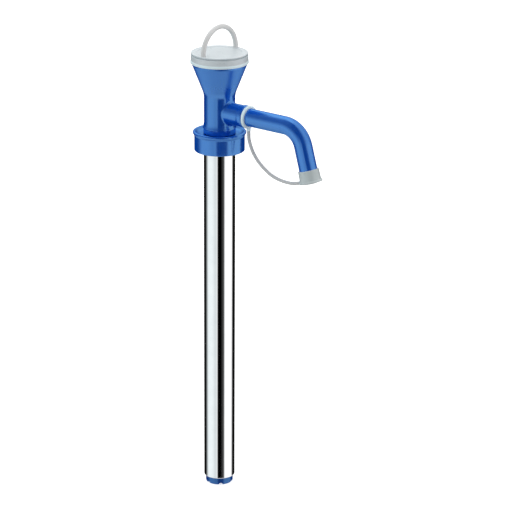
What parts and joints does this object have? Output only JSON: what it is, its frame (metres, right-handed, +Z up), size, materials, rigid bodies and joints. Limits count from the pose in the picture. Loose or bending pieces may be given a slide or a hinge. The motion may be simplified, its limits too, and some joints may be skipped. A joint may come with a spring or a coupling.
{
  "type": "drum barrel pump",
  "caption": "Hand-operated lift pump for drums: chromed tube, blue head with funnel and bent spout, tethered cap, sliding drum collar and pull-up lid with loop handle.",
  "frame": {"origin": "on the pump's axis, level with the bottom rim of the drum collar at its stored height", "axes": "+Z up along the pump's axis, +X along the spout branch, handle loop across +Y and -Y"},
  "size_m": [0.1866, 0.0694, 0.5872],
  "materials": {
    "blue_moulding": "glossy injection-moulded polypropylene, royal blue",
    "chrome_tube": "bright chromed tube",
    "natural_white": "soft natural white polyethylene, slightly translucent",
    "white_inner": "plain white moulded plastic",
    "rod_steel": "drawn steel bar",
    "nut_brass": "machined brass",
    "seal_rubber": "black moulded rubber",
    "cup_rubber": "red-brown moulded rubber cup"
  },
  "bodies": {
    "pump_body": {"head_body": "blue_moulding", "cylinder_tube": "chrome_tube", "tube_seal_ring": "seal_rubber", "rod_guide": "white_inner", "foot_valve_body": "blue_moulding", "foot_valve_cage": "white_inner", "foot_o_ring": "seal_rubber"},
    "foot_valve": {"foot_valve_disc": "seal_rubber"},
    "piston_seal": {"piston_cup": "cup_rubber"},
    "plunger": {"piston_rod": "rod_steel", "pull_lid": "natural_white", "pull_handle": "natural_white", "rod_lock_nut": "nut_brass", "piston_body": "white_inner", "piston_valve_stop": "rod_steel", "valve_spacer": "rod_steel", "piston_nut": "nut_brass"},
    "piston_valve": {"piston_valve_disc": "seal_rubber"},
    "spout": {"spout_pipe": "blue_moulding", "spout_o_ring": "seal_rubber", "tether_ring": "natural_white", "tether_strap": "natural_white"},
    "spout_cap": {"spout_cap": "natural_white"},
    "collar_grip": {"collar_grip_ring": "seal_rubber"},
    "collar": {"drum_collar": "blue_moulding", "collar_gasket": "seal_rubber"}
  },
  "joints": [
    {"name": "foot_valve_lift", "type": "slide", "parent": "pump_body", "child": "foot_valve", "axis": [0, 0, 1], "range_m": [0, 0.004]},
    {"name": "plunger_lift", "type": "slide", "parent": "pump_body", "child": "piston_seal", "axis": [0, 0, 1], "range_m": [0, 0.38]},
    {"name": "plunger_turn", "type": "hinge", "parent": "piston_seal", "child": "plunger", "pos_m": [0, 0, -0.386], "axis": [0, 0, 1], "continuous": true},
    {"name": "piston_valve_lift", "type": "slide", "parent": "plunger", "child": "piston_valve", "axis": [0, 0, 1], "range_m": [0, 0.003]},
    {"name": "spout_swivel", "type": "hinge", "parent": "pump_body", "child": "spout", "pos_m": [0.03, 0, 0.0484], "axis": [1, 0, 0], "continuous": true},
    {"name": "cap_pull", "type": "slide", "parent": "spout", "child": "spout_cap", "axis": [0.2756, 0, -0.9613], "range_m": [0, 0.018]},
    {"name": "collar_slide", "type": "slide", "parent": "pump_body", "child": "collar_grip", "axis": [0, 0, -1], "range_m": [0, 0.35]},
    {"name": "collar_turn", "type": "hinge", "parent": "collar_grip", "child": "collar", "pos_m": [0, 0, 0.01], "axis": [0, 0, 1], "continuous": true}
  ]
}
